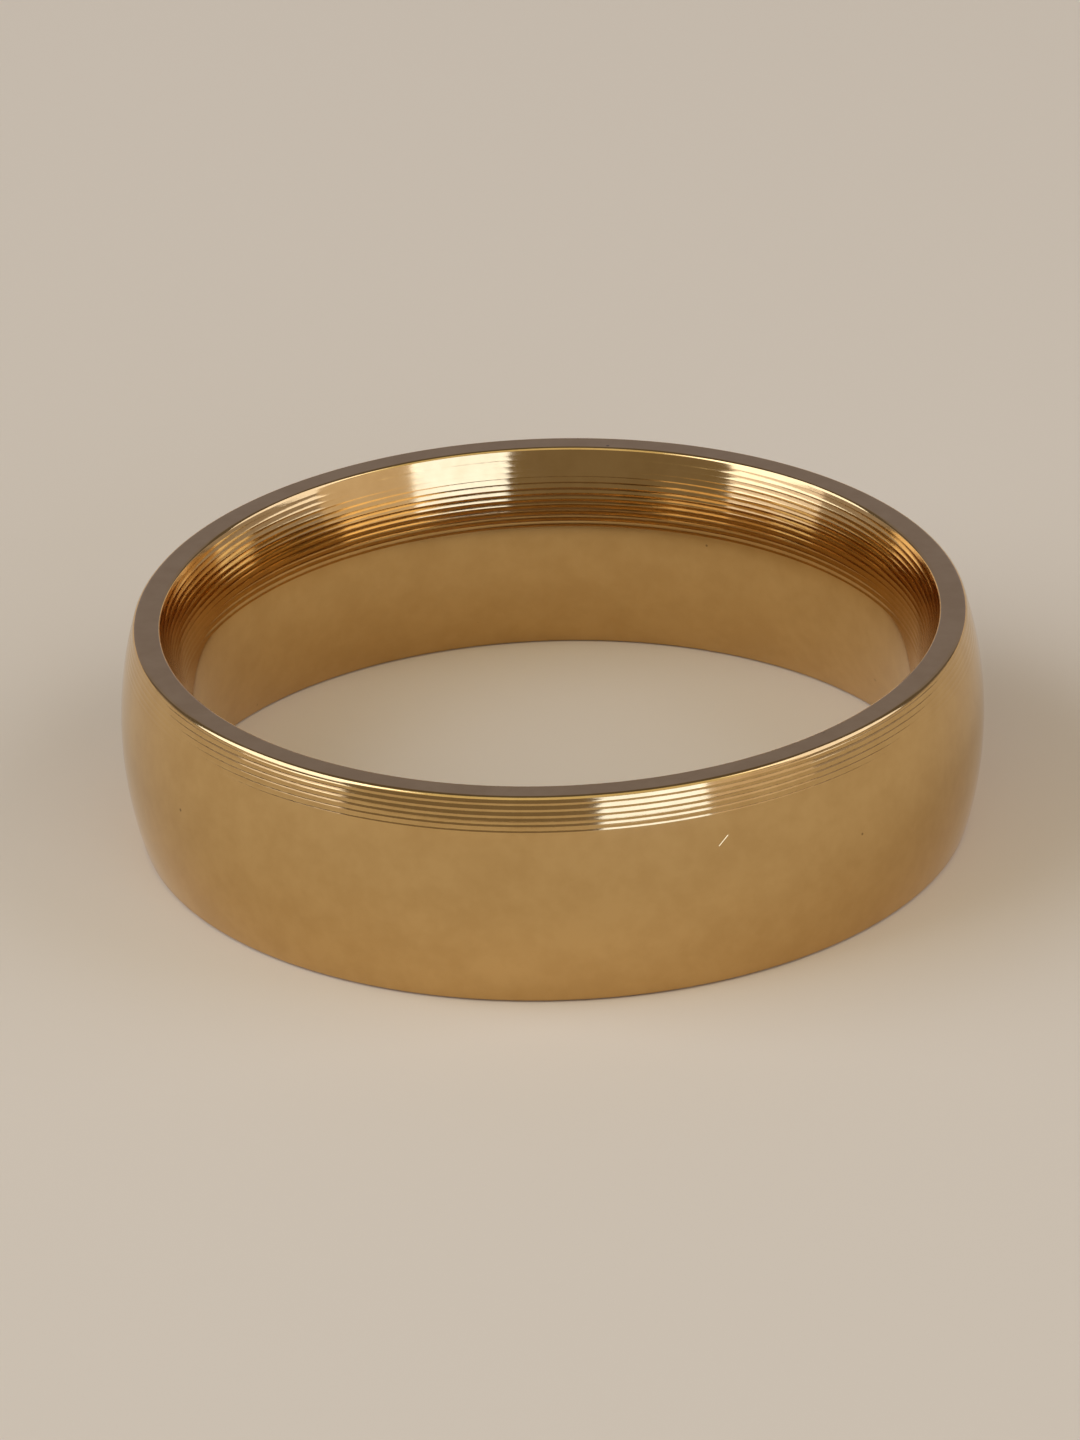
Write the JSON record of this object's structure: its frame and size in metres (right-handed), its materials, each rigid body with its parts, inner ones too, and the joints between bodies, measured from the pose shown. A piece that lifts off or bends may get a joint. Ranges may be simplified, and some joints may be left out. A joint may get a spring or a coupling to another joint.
{
  "type": "wedding band",
  "caption": "Plain domed wedding band with a comfort-fit bore, flat rims and fine turning steps below its upper edge.",
  "frame": {"origin": "on the ring's axis, in the plane of the lower rim that the band stands on", "axes": "+Z along the ring's axis, from the lower rim to the upper rim; the turning steps are at the upper rim"},
  "size_m": [0.0234, 0.0234, 0.006],
  "materials": {
    "polished_gold": "polished yellow gold, with fine turning steps at one edge"
  },
  "bodies": {
    "root": {"band": "polished_gold"}
  },
  "joints": []
}
